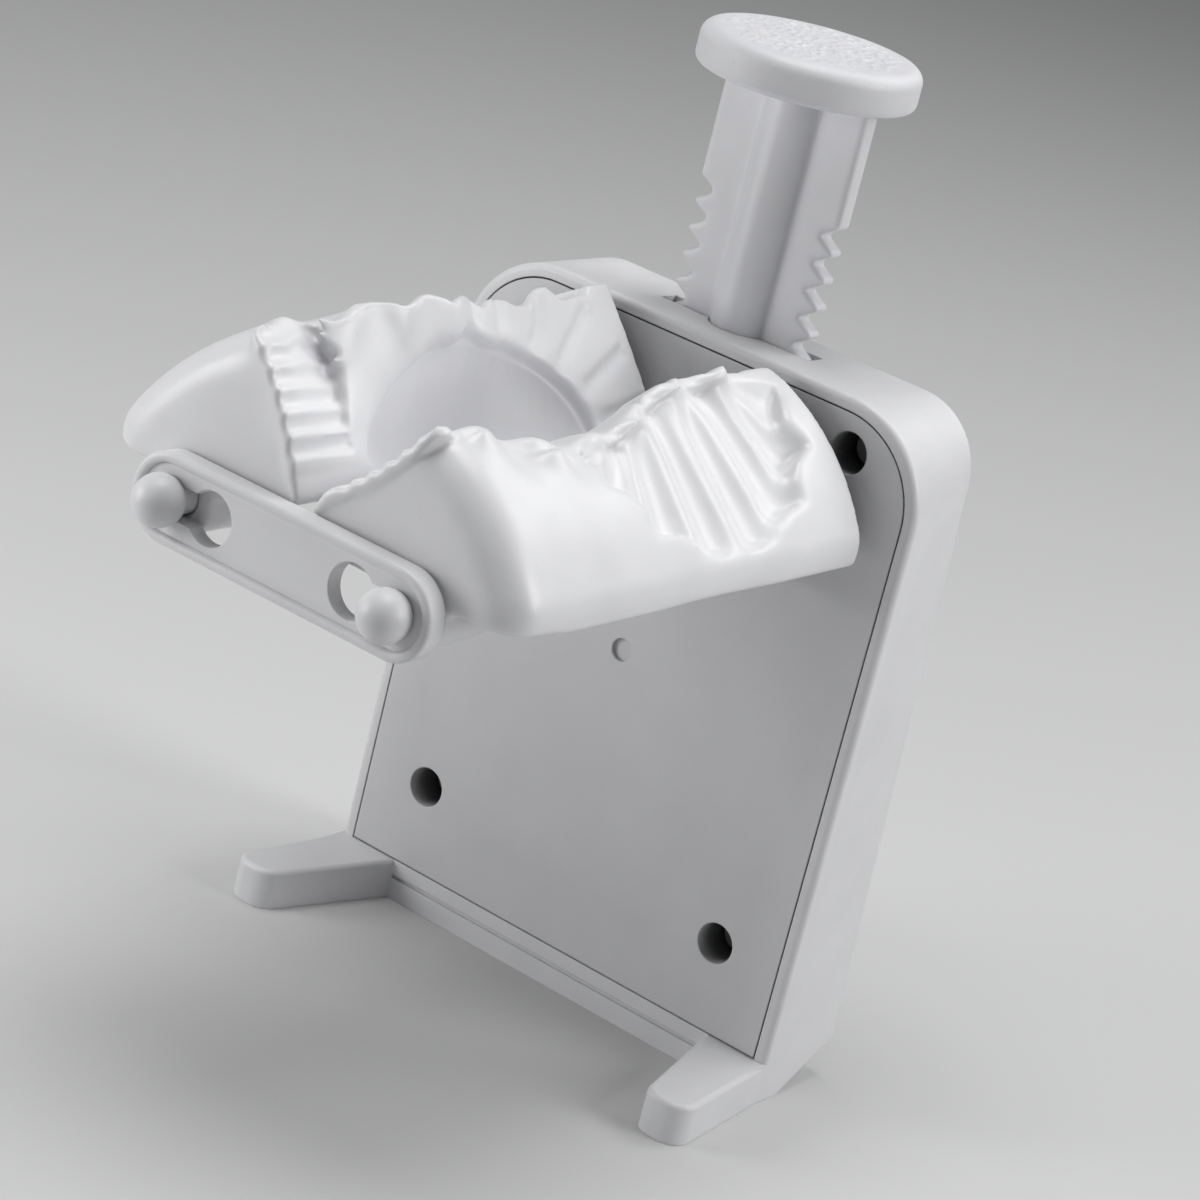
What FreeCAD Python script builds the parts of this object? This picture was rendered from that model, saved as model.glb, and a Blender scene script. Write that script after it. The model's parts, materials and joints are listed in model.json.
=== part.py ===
import FreeCAD, Part
import math
import os
import re
from types import SimpleNamespace

from FreeCAD import Placement, Rotation, Vector

# Dumpling maker: a plunger with two racks turns two pinions, which swing two pleated half moulds together.
# Frame: +X to the right seen from the front, +Y to the back, +Z up.
# The origin is on the table plane, under the plunger's axis. Millimetres and degrees.

SIZES = [
    # Housing and front cover
    ("cover_width", 100.0, "front cover, side to side"),
    ("cover_height", 121.9, "front cover, lower edge to top"),
    ("cover_corner", 16.5, "radius of the cover's top corners"),
    ("cover_thickness", 2.6, "cover panel"),
    ("cover_ledge", 3.8, "ledge behind the cover's edge"),
    ("seam_gap", 0.3, "open seam round the cover"),
    ("rim_width", 2.5, "housing rim round the cover"),
    ("rim_round", 1.2, "rounding of the rim's front edge"),
    ("housing_depth", 23.0, "front of the rim to the back"),
    ("plunger_setback", 12.4, "front of the rim to the plunger's axis"),
    ("base_height", 8.0, "table to the cover's lower edge"),
    ("back_taper", 4.8, "narrowing of each side at the top of the back"),
    ("back_corner", 13.5, "radius of the top corners at the back"),
    ("top_taper", 0.6, "drop of the top towards the back"),
    ("back_wall", 2.5, "back of the housing"),
    ("top_wall", 3.0, "top of the housing"),
    ("floor_thickness", 3.0, "floor of the housing"),
    ("chamfer_height", 9.5, "lower side chamfer at the back, up the side"),
    ("chamfer_width", 6.5, "lower side chamfer at the back, along the base"),
    ("chamfer_setback", 2.0, "front of the rim to the start of the chamfer"),
    ("groove_height", 4.2, "table to the shadow groove below the cover"),
    ("groove_width", 0.8, "shadow groove"),
    ("groove_depth", 0.7, "shadow groove"),
    # Feet
    ("foot_reach", 29.5, "front of the rim to the tip of a foot"),
    ("foot_root_inner", 38.7, "half gap between the feet at the housing"),
    ("foot_tip_inner", 46.2, "half gap between the feet at the tips"),
    ("foot_tip_outer", 55.7, "half width over the feet's tips"),
    ("foot_tip_round", 4.2, "plan rounding of a foot's tip"),
    ("foot_edge_round", 1.0, "rounding of a foot's upper edge"),
    # Cover screws
    ("screw_side", 14.4, "cover's side edge to the screws"),
    ("screw_low", 17.3, "cover's lower edge to the lower screws"),
    ("screw_high", 7.3, "cover's top edge to the upper screws"),
    ("screw_well", 3.9, "radius of a screw well"),
    ("screw_well_depth", 10.0, "cover face to the seat of the screw head"),
    ("screw_well_wall", 1.7, "wall of a screw well"),
    ("screw_seat", 2.0, "floor of a screw well"),
    ("screw_post", 4.6, "radius of a screw post"),
    ("screw_head", 3.2, "radius of a screw head"),
    ("screw_head_height", 2.2, "screw head"),
    ("screw_recess", 1.1, "radius of the driver recess"),
    ("screw_recess_depth", 1.2, "driver recess"),
    ("screw_shank", 1.4, "radius of a screw shank"),
    ("screw_length", 9.0, "screw under its head"),
    ("gate_radius", 2.2, "gate dimple in the cover"),
    ("gate_depth", 0.8, "gate dimple in the cover"),
    ("gate_height", 61.5, "cover's lower edge to the gate dimple"),
    # Plunger
    ("blade_half", 15.7, "axis to the tips of a rack"),
    ("blade_thickness", 4.0, "rack bar, front to back"),
    ("tube_radius", 6.0, "tube along the rod"),
    ("bore_radius", 3.6, "bore of the tube"),
    ("bore_depth", 40.0, "bore of the tube from its lower end"),
    ("rod_length", 96.0, "rod under the cap"),
    ("rod_rise", 45.9, "housing's top to the underside of the cap"),
    ("rack_drop", 24.1, "underside of the cap to the highest tooth space"),
    ("rack_end", 1.9, "least plain length under the lowest tooth space"),
    ("collar_radius", 7.6, "stop collar under the top wall"),
    ("collar_thickness", 3.0, "stop collar under the top wall"),
    ("collar_gap", 0.3, "stop collar to the top wall"),
    ("slot_half", 17.0, "half length of the slot for the rod"),
    ("slot_gap", 0.35, "rod to its slot, all round"),
    ("cap_radius", 20.4, "press cap"),
    ("cap_thickness", 8.0, "press cap"),
    ("cap_round", 3.9, "rounding of the cap's edges"),
    ("cap_socket", 4.0, "depth of the cap's socket"),
    # Gears
    ("gear_module", 1.65, "tooth size of the racks and pinions"),
    ("pinion_teeth", 13, "teeth of a pinion"),
    ("pressure_angle", 30.0, "pressure angle of the teeth"),
    ("addendum_share", 0.95, "tooth above the pitch line, in modules"),
    ("dedendum_share", 1.15, "tooth below the pitch line, in modules"),
    ("backlash", 0.25, "play between the teeth"),
    ("pinion_width", 8.4, "pinion, front to back"),
    ("pivot_drop", 25.5, "underside of the top wall to the moulds' pivots"),
    # Drive shafts and their bearings
    ("shaft_square", 6.0, "square of a drive shaft"),
    ("shaft_front", 4.4, "radius of the front journal"),
    ("shaft_rear", 3.0, "radius of the rear journal"),
    ("running_gap", 0.05, "radial play of a shaft or pin"),
    ("side_gap", 0.6, "pinion to its bearing bosses"),
    ("boss_radius", 7.0, "bearing boss"),
    ("shaft_end_gap", 0.3, "rear journal to the bottom of its bore"),
    ("drive_length", 16.0, "square end inside a mould"),
    # Spring and guide
    ("guide_radius", 3.0, "spring guide"),
    ("guide_overlap", 16.0, "spring guide inside the rod"),
    ("guide_flange", 6.0, "radius of the guide's flange"),
    ("flange_height", 2.0, "thickness of the guide's flange"),
    ("ring_wall", 1.4, "locating ring round the guide's flange"),
    ("ring_height", 3.0, "locating ring round the guide's flange"),
    ("ring_gap", 0.1, "locating ring to the flange"),
    ("coil_radius", 4.6, "spring coil, middle of the wire"),
    ("wire_radius", 0.55, "spring wire"),
    ("coil_turns", 14, "turns of the spring"),
    ("coil_gap", 0.1, "spring to its seats"),
    # Moulds, in the closed position: depth is measured from the parting face, height from the pivot
    ("open_angle", 40.2, "swing of a mould from open to closed"),
    ("closing_gap", 0.3, "gap between the closed moulds"),
    ("mould_gap", 4.0, "cover to the moulds"),
    ("mould_length", 99.0, "mould, back to front"),
    ("mould_wall", 2.2, "wall of a mould"),
    ("flange_thickness", 2.6, "pleated flange at the parting face"),
    ("flange_top", 20.6, "pivot to the top of the flange"),
    ("flange_rear_gap", 4.0, "back of the mould to the flange"),
    ("flange_rear_round", 19.0, "upper back corner of the flange"),
    ("flange_front_round", 3.0, "upper front corner of the flange"),
    ("lip_drop", 9.0, "pivot down to the lower lip"),
    ("lip_start", 1.8, "parting face to the front of the lower lip"),
    ("lip_end", 10.8, "parting face to the back of the lower lip"),
    ("roof_edge", 18.0, "pivot to the roof beside the flange"),
    ("roof_crown", 22.0, "pivot to the crown of the roof"),
    ("roof_middle", 21.0, "parting face to the crown"),
    ("roof_end", 33.5, "parting face to the shoulder"),
    ("roof_fall", 19.4, "pivot to the roof's end at the shoulder"),
    ("shoulder_reach", 37.3, "parting face to the middle of the shoulder"),
    ("shoulder_height", 16.9, "pivot to the middle of the shoulder"),
    ("loaf_reach", 38.8, "parting face to the outer edge"),
    ("skirt_height", 14.2, "pivot to the outer edge"),
    ("dome_length", 6.2, "rounded front of the loaf"),
    ("dome_setback", 0.6, "flange front to the loaf's front"),
    ("dome_share", 0.84, "size of the loaf's front face against its section"),
    ("crescent", 9.0, "bow of the parting face at its top, towards the right"),
    ("crescent_half", 38.0, "half length of the bow"),
    ("crescent_setback", 69.0, "cover to the middle of the bow"),
    ("bowl_half", 31.0, "half length of the bowl"),
    ("bowl_rise", 20.5, "floor of the bowl to its top"),
    ("bowl_depth", 15.0, "parting face to the deepest point of the bowl"),
    ("bowl_setback", 52.0, "cover to the middle of the bowl"),
    ("hub_radius", 6.5, "hub round a drive shaft or pin"),
    ("hub_length", 20.0, "rear hub"),
    ("pin_hub_length", 16.0, "front hub"),
    ("web_thickness", 2.4, "web that ties a hub to the roof"),
    # Pleats
    ("fan_setback", 40.0, "cover to the middle of the pleated fan"),
    ("fan_half", 29.0, "half length of the fan"),
    ("fan_reach", 33.0, "parting face to the outer edge of the fan"),
    ("fan_floor", 19.2, "pivot to the floor of the fan"),
    ("fan_core_half", 21.0, "half length of the fan's inner edge"),
    ("flute_count", 8, "flutes of the fan"),
    ("flute_depth_inner", 0.9, "depth of a flute at its inner end"),
    ("flute_depth_outer", 1.9, "depth of a flute at its outer end"),
    ("flute_inner", 5.0, "width of a flute at its inner end"),
    ("flute_outer", 9.6, "width of a flute at its outer end"),
    ("pleat_pitch", 3.9, "front pleats, one to the next"),
    ("pleat_count", 6, "front pleats"),
    ("pleat_width", 3.3, "width of a front pleat"),
    ("pleat_depth", 0.9, "depth of a pleat"),
    ("pleat_length", 17.0, "length of a pleat"),
    ("pleat_gap", 1.5, "bowl to the pleats round its back"),
    ("scallop_setback", 65.0, "cover to the middle dip in the rim"),
    ("scallop_pitch", 14.5, "dips in the rim, one to the next"),
    ("scallop_count", 5, "dips in the rim"),
    ("scallop_width", 9.5, "width of a dip"),
    ("scallop_depth", 1.7, "depth of a dip"),
    # Pins and link plate
    ("pin_shank", 3.0, "radius of a pin in its mould"),
    ("pin_shank_length", 14.0, "pin inside its mould"),
    ("pin_head", 4.6, "radius of a ball head"),
    ("pin_head_gap", 0.15, "ball head to the link plate"),
    ("link_gap", 0.3, "front hub to the link plate"),
    ("link_thickness", 4.0, "link plate with its bead"),
    ("link_end", 7.9, "radius of the link plate's ends"),
    ("bead_width", 1.9, "bead round the link plate"),
    ("bead_height", 0.9, "bead round the link plate"),
    ("bead_round", 0.8, "rounding of the bead"),
    ("keyhole_radius", 4.75, "wide end of a keyhole"),
    ("keyhole_offset", 9.3, "pivot to the wide end of a keyhole"),
    # Modelling
    ("overrun", 1.0, "how far a cut runs past the face it opens"),
]

doc = FreeCAD.newDocument("dumpling_maker")
sheet = doc.addObject("Spreadsheet::Sheet", "sizes")
for row, (alias, number, meaning) in enumerate(SIZES, start=1):
    sheet.set(f"A{row}", alias)
    sheet.set(f"B{row}", str(number))
    sheet.set(f"C{row}", meaning)
    sheet.setAlias(f"B{row}", alias)
doc.recompute()

NAMES = {alias for alias, number, meaning in SIZES}
v = SimpleNamespace(**{alias: float(sheet.get(alias)) for alias in NAMES})

# Places that several pieces share, as formulas on the sheet
FRONT = "(-plunger_setback)"
BACK = "(housing_depth - plunger_setback)"
TOP = "(base_height + cover_height + rim_width)"
CEILING = f"({TOP} - top_taper - top_wall)"
PITCH_RADIUS = "(gear_module * pinion_teeth / 2)"
PIVOT = f"(blade_half - gear_module * addendum_share + {PITCH_RADIUS})"
MOULD_BACK = f"({FRONT} - mould_gap)"
MOULD_FRONT = f"({MOULD_BACK} - mould_length)"
LINK_BACK = f"({MOULD_FRONT} - link_gap)"
LINK_FRONT = f"({LINK_BACK} - link_thickness)"
LINK_FACE = f"({LINK_FRONT} + bead_height)"
BEARING_FRONT = f"(-pinion_width / 2 - side_gap)"
BEARING_BACK = f"(pinion_width / 2 + side_gap)"
SPRING_SEAT = "(floor_thickness + flange_height)"
PIVOT_HEIGHT = f"({CEILING} - pivot_drop)"
CAP_HEIGHT = f"({TOP} + rod_rise)"
ROD_LOW = f"({CAP_HEIGHT} - rod_length)"
SCREW_OFFSET = "(cover_width / 2 - screw_side)"
CHEEK = "(cover_width / 2 - cover_ledge)"


def value(formula):
    """A formula's number, for outlines and placements that are worked out here."""
    names = re.findall(r"[a-z_]{2,}", formula)
    result = sheet_probe(formula) if names else float(formula)
    return result


def expression(formula):
    """A formula in sheet names, as an expression on the sheet's cells."""
    return re.sub(r"[a-z_]{2,}", lambda word: "sizes." + word.group(0), formula)


probe = doc.addObject("App::FeaturePython", "probe")
probe.addProperty("App::PropertyFloat", "Number")


def sheet_probe(formula):
    """Let the document work a formula out."""
    return float(probe.evalExpression(expression(formula)))


def bind(item, prop, formula):
    item.setExpression(prop, expression(formula))


def place(item, x="0", y="0", z="0", turn=None):
    if turn is not None:
        item.Placement = Placement(Vector(), turn)
    for axis, formula in zip("xyz", (x, y, z)):
        bind(item, "Placement.Base." + axis, formula)
    return item


def box(name, x, y, z):
    """A box between two formulas along each axis."""
    item = doc.addObject("Part::Box", name)
    for side, (low, high) in zip(("Length", "Width", "Height"), (x, y, z)):
        bind(item, side, f"({high}) - ({low})")
    return place(item, x[0], y[0], z[0])


ALONG_Y = Rotation(Vector(1, 0, 0), -90)
UPRIGHT = Rotation()


def rod(name, radius, low, high, x="0", y="0", z="0", turn=UPRIGHT):
    """A cylinder between two formulas along Z, or along Y where it is turned."""
    item = doc.addObject("Part::Cylinder", name)
    bind(item, "Radius", radius)
    bind(item, "Height", f"({high}) - ({low})")
    if turn is ALONG_Y:
        return place(item, x, low, z, turn)
    return place(item, x, y, low, turn)


def fuse(name, items):
    item = doc.addObject("Part::MultiFuse", name)
    item.Shapes = items
    return item


def cut(name, base, tools):
    item = doc.addObject("Part::Cut", name)
    item.Base = base
    item.Tool = tools[0] if len(tools) == 1 else fuse(name + "_tools", tools)
    return item


def rounded(name, base, radius, wanted):
    """Round the edges of a base that pass a test."""
    doc.recompute()
    item = doc.addObject("Part::Fillet", name)
    item.Base = base
    chosen = [number for number, edge in enumerate(base.Shape.Edges, start=1) if wanted(edge)]
    item.Edges = [(number, radius, radius) for number in chosen]
    return item


def mirrored(name, source):
    item = doc.addObject("Part::Mirroring", name)
    item.Source = source
    item.Normal = Vector(1, 0, 0)
    return item


def extruded(name, wire, direction, length, symmetric=False):
    """A closed wire, drawn out along a direction."""
    outline = doc.addObject("Part::Feature", name + "_outline")
    outline.Shape = wire
    item = doc.addObject("Part::Extrusion", name)
    item.Base = outline
    item.DirMode = "Custom"
    item.Dir = direction
    item.Solid = True
    item.Symmetric = symmetric
    bind(item, "LengthFwd", length)
    return item


def lies_along(edge, axis):
    """True for a straight edge along an axis."""
    if not isinstance(edge.Curve, Part.Line):
        return False
    return abs(abs(edge.Curve.Direction.dot(axis)) - 1) < 1e-6


def sub_part(item, label):
    item.Label = label
    finished.append(item)


finished = []
X_AXIS, Y_AXIS, Z_AXIS = Vector(1, 0, 0), Vector(0, 1, 0), Vector(0, 0, 1)
SIDES = (("left", -1), ("right", 1))
SCREW_HEIGHTS = ("base_height + screw_low", "base_height + cover_height - screw_high")
SCREWS = [(side, height) for side in (-1, 1) for height in SCREW_HEIGHTS]


# Housing

def arch(half_low, half_high, top, radius, y):
    """A standing outline with two rounded upper corners, sides that may lean in, and its base on the table."""
    corner = Vector(half_high, y, top)
    foot = Vector(half_low, y, 0)
    rise = (corner - foot).normalize()
    inward = Vector(-rise.z, 0, rise.x)
    turn = math.acos(rise.dot(Vector(-1, 0, 0)))
    tangent = radius * math.tan(turn / 2)
    start = corner - rise * tangent
    end = corner - X_AXIS * tangent
    centre = start + inward * radius
    middle = centre + (corner - centre).normalize() * radius

    def flip(point):
        return Vector(-point.x, point.y, point.z)

    return Part.Wire([
        Part.LineSegment(flip(foot), foot).toShape(),
        Part.LineSegment(foot, start).toShape(),
        Part.Arc(start, middle, end).toShape(),
        Part.LineSegment(end, flip(end)).toShape(),
        Part.Arc(flip(end), flip(middle), flip(start)).toShape(),
        Part.LineSegment(flip(start), flip(foot)).toShape(),
    ])


def housing_block():
    """The outer block, narrower at the top of its back."""
    half = value("cover_width / 2 + rim_width")
    sections = []
    for name, high, top, radius, y in (
            ("front", half, TOP, v.cover_corner + v.rim_width, FRONT),
            ("back", half - v.back_taper, f"{TOP} - top_taper", v.back_corner, BACK)):
        outline = doc.addObject("Part::Feature", f"housing_{name}_outline")
        outline.Shape = arch(half, high, value(top), radius, value(y))
        sections.append(outline)
    loft = doc.addObject("Part::Loft", "housing_loft")
    loft.Sections = sections
    loft.Solid = True
    loft.Ruled = True
    front = value(FRONT)

    def on_rim(edge):
        box_of = edge.BoundBox
        return abs(box_of.YMin - front) < 1e-6 and abs(box_of.YMax - front) < 1e-6 and box_of.ZMax > v.overrun

    return rounded("housing_body", loft, v.rim_round, on_rim)


def side_chamfer(side):
    """Cutter for a lower side edge: it starts behind the rim and grows towards the back."""
    half = value("cover_width / 2 + rim_width")
    back = value(BACK) + v.overrun
    spare_height = v.overrun * v.chamfer_height / v.chamfer_width
    spare_width = v.overrun * v.chamfer_width / v.chamfer_height
    ring = [Vector(side * (half + v.overrun), back, -v.overrun),
            Vector(side * (half - v.chamfer_width - spare_width), back, -v.overrun),
            Vector(side * (half + v.overrun), back, v.chamfer_height + spare_height)]
    tip = Part.Vertex(Vector(side * (half + v.overrun), value(FRONT) + v.chamfer_setback, -v.overrun))
    cutter = doc.addObject("Part::Feature", "chamfer_right" if side > 0 else "chamfer_left")
    cutter.Shape = Part.makeLoft([tip, Part.makePolygon(ring + ring[:1])], True, True)
    return cutter


def foot():
    """The right foot: tapered in plan, with a rounded tip, and let into the housing's front."""
    front = value(FRONT)
    tip = front - v.foot_reach
    root = front + v.cover_thickness
    half = value("cover_width / 2 + rim_width")
    corners = [Vector(v.foot_root_inner, root, 0), Vector(v.foot_root_inner, front, 0),
               Vector(v.foot_tip_inner, tip, 0), Vector(v.foot_tip_outer, tip, 0),
               Vector(half, front, 0), Vector(half, root, 0)]
    blank = extruded("foot_blank", Part.makePolygon(corners + corners[:1]), Z_AXIS, "base_height")

    def at_tip(edge):
        return lies_along(edge, Z_AXIS) and abs(edge.BoundBox.YMin - tip) < 1e-6

    tipped = rounded("foot_tipped", blank, v.foot_tip_round, at_tip)

    def upper(edge):
        return abs(edge.BoundBox.ZMin - v.base_height) < 1e-6 and edge.BoundBox.YMax < front + v.overrun

    return rounded("foot_right", tipped, v.foot_edge_round, upper)


def arch_cavity(name, half, low, high, corner, y):
    """A standing pocket with rounded upper corners."""
    block = box(name + "_block", (f"-({half})", half), y, (low, high))
    top = value(high)

    def upper(edge):
        return lies_along(edge, Y_AXIS) and abs(edge.BoundBox.ZMax - top) < 1e-6

    return rounded(name, block, corner, upper)


def housing():
    recess_back = f"{FRONT} + cover_thickness + seam_gap"
    foot_right = foot()
    posts = [rod(f"post_{number}", "screw_post", f"{FRONT} + screw_well_depth + screw_seat", f"{BACK} - back_wall",
                 f"{side} * {SCREW_OFFSET}", z=height, turn=ALONG_Y)
             for number, (side, height) in enumerate(SCREWS)]
    bosses = [rod(f"rear_boss_{name}", "boss_radius", BEARING_BACK, f"{BACK} - back_wall", f"{side} * {PIVOT}",
                  z=PIVOT_HEIGHT, turn=ALONG_Y) for name, side in SIDES]
    ring = rod("guide_ring", "guide_flange + ring_gap + ring_wall", "floor_thickness",
               "floor_thickness + ring_height")
    shell = cut("housing_shell", fuse("housing_outside", [housing_block(), foot_right,
                                                          mirrored("foot_left", foot_right)]), [
        arch_cavity("cover_recess", "cover_width / 2", "base_height", "base_height + cover_height", v.cover_corner,
                    (f"{FRONT} - overrun", recess_back)),
        arch_cavity("cavity", CHEEK, "floor_thickness", CEILING, v.cover_corner - v.cover_ledge,
                    (f"{FRONT} + cover_thickness", f"{BACK} - back_wall")),
        side_chamfer(1),
        side_chamfer(-1),
        box("shadow_groove", ("-foot_root_inner", "foot_root_inner"), (f"{FRONT} - overrun", f"{FRONT} + groove_depth"),
            ("groove_height", "groove_height + groove_width")),
    ])
    holes = [rod(f"post_hole_{number}", "screw_shank + running_gap", f"{FRONT} + screw_well_depth",
                 f"{FRONT} + screw_well_depth + screw_length + shaft_end_gap", f"{side} * {SCREW_OFFSET}",
                 z=height, turn=ALONG_Y) for number, (side, height) in enumerate(SCREWS)]
    bores = [rod(f"rear_bore_{name}", "shaft_rear + running_gap", f"{BEARING_BACK} - overrun", f"{BACK} - back_wall",
                 f"{side} * {PIVOT}", z=PIVOT_HEIGHT, turn=ALONG_Y) for name, side in SIDES]
    sub_part(cut("housing", fuse("housing_filled", [shell, ring] + posts + bosses), holes + bores + [
        box("rod_slot", ("-slot_half", "slot_half"), ("-blade_thickness / 2 - slot_gap", "blade_thickness / 2 + slot_gap"),
            (f"{CEILING} - overrun", f"{TOP} + overrun")),
        rod("tube_hole", "tube_radius + slot_gap", f"{CEILING} - overrun", f"{TOP} + overrun"),
        rod("ring_bore", "guide_flange + ring_gap", "floor_thickness", "floor_thickness + ring_height + overrun"),
    ]), "housing")


# Front cover and its screws

def front_cover():
    inside = f"{FRONT} + cover_thickness"
    panel = arch_cavity("cover_panel", "cover_width / 2 - seam_gap", "base_height + seam_gap",
                        "base_height + cover_height - seam_gap", v.cover_corner - v.seam_gap, (FRONT, inside))
    wells = [rod(f"well_{number}", "screw_well + screw_well_wall", inside, f"{FRONT} + screw_well_depth + screw_seat",
                 f"{side} * {SCREW_OFFSET}", z=height, turn=ALONG_Y)
             for number, (side, height) in enumerate(SCREWS)]
    bearings = [rod(f"front_boss_{name}", "boss_radius", inside, BEARING_FRONT, f"{side} * {PIVOT}", z=PIVOT_HEIGHT,
                    turn=ALONG_Y) for name, side in SIDES]
    openings = [rod(f"well_bore_{number}", "screw_well", f"{FRONT} - overrun", f"{FRONT} + screw_well_depth",
                    f"{side} * {SCREW_OFFSET}", z=height, turn=ALONG_Y)
                for number, (side, height) in enumerate(SCREWS)]
    openings += [rod(f"seat_hole_{number}", "screw_shank + running_gap", FRONT, f"{BACK} - back_wall",
                     f"{side} * {SCREW_OFFSET}", z=height, turn=ALONG_Y)
                 for number, (side, height) in enumerate(SCREWS)]
    openings += [rod(f"front_bore_{name}", "shaft_front + running_gap", f"{FRONT} - overrun", f"{BEARING_FRONT} + overrun",
                     f"{side} * {PIVOT}", z=PIVOT_HEIGHT, turn=ALONG_Y) for name, side in SIDES]
    openings.append(rod("gate_dimple", "gate_radius", f"{FRONT} - overrun", f"{FRONT} + gate_depth",
                        z="base_height + gate_height", turn=ALONG_Y))
    sub_part(cut("front_cover", fuse("cover_filled", [panel] + wells + bearings), openings), "front_cover")


def cover_screws():
    seat = f"{FRONT} + screw_well_depth"
    screws = []
    for number, (side, height) in enumerate(SCREWS):
        spot = dict(x=f"{side} * {SCREW_OFFSET}", z=height, turn=ALONG_Y)
        blank = fuse(f"screw_blank_{number}", [
            rod(f"screw_head_{number}", "screw_head", f"{seat} - screw_head_height", seat, **spot),
            rod(f"screw_shank_{number}", "screw_shank", f"{seat} - screw_head_height / 2", f"{seat} + screw_length",
                **spot),
        ])
        recess = rod(f"screw_recess_{number}", "screw_recess", f"{seat} - screw_head_height - overrun",
                     f"{seat} - screw_head_height + screw_recess_depth", **spot)
        screws.append(cut(f"screw_{number}", blank, [recess]))
    group = doc.addObject("Part::Compound", "cover_screws")
    group.Links = screws
    sub_part(group, "cover_screws")


# Plunger rod, press cap, spring and guide

def rack_bar():
    """The rack bar seen from the front, with the same tooth spaces down both edges."""
    pitch = math.pi * v.gear_module
    slope = math.tan(math.radians(v.pressure_angle))
    depth = v.gear_module * (v.addendum_share + v.dedendum_share)
    at_tip = pitch / 4 + v.backlash / 4 + v.gear_module * v.addendum_share * slope
    at_root = at_tip - depth * slope
    top = value(CAP_HEIGHT)
    edge = [Vector(v.blade_half, 0, top)]
    spaces = int((v.rod_length - v.rack_drop - v.rack_end) / pitch) + 1
    for space in range(spaces):
        middle = top - v.rack_drop - space * pitch
        for inset, rise in ((0, at_tip), (depth, at_root), (depth, -at_root), (0, -at_tip)):
            edge.append(Vector(v.blade_half - inset, 0, middle + rise))
    edge.append(Vector(v.blade_half, 0, value(ROD_LOW)))
    other = [Vector(-point.x, 0, point.z) for point in reversed(edge)]
    return Part.makePolygon(edge + other + edge[:1])


def plunger_rod():
    bar = extruded("rack_bar", rack_bar(), Y_AXIS, "blade_thickness", symmetric=True)
    tube = rod("rod_tube", "tube_radius", ROD_LOW, f"{CAP_HEIGHT} + cap_socket")
    collar_top = f"({CEILING} - collar_gap)"
    collar = rod("rod_collar", "collar_radius", f"{collar_top} - collar_thickness", collar_top)
    bore = rod("rod_bore", "bore_radius", f"{ROD_LOW} - overrun", f"{ROD_LOW} + bore_depth")
    sub_part(cut("plunger_rod", fuse("rod_filled", [bar, tube, collar]), [bore]), "plunger_rod")


def press_cap():
    disc = rod("cap_disc", "cap_radius", CAP_HEIGHT, f"{CAP_HEIGHT} + cap_thickness")
    soft = rounded("cap_round_disc", disc, v.cap_round, lambda edge: isinstance(edge.Curve, Part.Circle))
    socket = rod("cap_socket_bore", "tube_radius + running_gap", f"{CAP_HEIGHT} - overrun",
                 f"{CAP_HEIGHT} + cap_socket + running_gap")
    sub_part(cut("press_cap", soft, [socket]), "press_cap")


def spring_guide():
    flange = rod("guide_foot", "guide_flange", "floor_thickness", SPRING_SEAT)
    stem = rod("guide_stem", "guide_radius", "floor_thickness", f"{ROD_LOW} + guide_overlap")
    sub_part(fuse("spring_guide", [flange, stem]), "spring_guide")


def biarc(start, start_way, end, end_way):
    """Two arcs that leave start and reach end along given directions and meet smoothly."""
    gap = end - start
    ways = start_way + end_way
    spare = 4 - ways.dot(ways)
    reach = (math.sqrt(gap.dot(ways) ** 2 + spare * gap.dot(gap)) - gap.dot(ways)) / spare
    first = start + start_way * reach
    second = end - end_way * reach
    joint = (first + second) / 2
    return [tangent_arc(start, first, joint), tangent_arc(joint, second, end)]


def tangent_arc(start, apex, end):
    """The arc from start to end whose end tangents meet at the apex."""
    chord_middle = (start + end) / 2
    lean = math.acos(min(1, (end - start).Length / 2 / (apex - start).Length))
    sagitta = (end - start).Length / 2 * math.tan(lean / 2)
    return Part.Arc(start, chord_middle + (apex - chord_middle).normalize() * sagitta, end).toShape()


def return_spring():
    """Coil between the guide's flange and the lower end of the rod, as quarter turns."""
    low = value(SPRING_SEAT) + v.wire_radius + v.coil_gap
    high = value(ROD_LOW) - v.wire_radius - v.coil_gap
    turn = 2 * math.pi * v.coil_turns
    climb = (high - low) / turn

    def at(angle):
        return Vector(v.coil_radius * math.cos(angle), v.coil_radius * math.sin(angle), low + climb * angle)

    def way(angle):
        return Vector(-v.coil_radius * math.sin(angle), v.coil_radius * math.cos(angle), climb).normalize()

    quarters = int(4 * v.coil_turns)
    angles = [turn * step / quarters for step in range(quarters + 1)]
    arcs = []
    for start, end in zip(angles, angles[1:]):
        arcs += biarc(at(start), way(start), at(end), way(end))
    path = Part.Wire(arcs)
    section = Part.Wire([Part.Circle(at(0), way(0), v.wire_radius).toShape()])
    coil = doc.addObject("Part::Feature", "return_spring")
    coil.Shape = path.makePipeShell([section], True, False)
    print("spring gap between turns", round(2 * math.pi * climb - 2 * v.wire_radius, 3))
    sub_part(coil, "return_spring")


# Pinions and drive shafts

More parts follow.
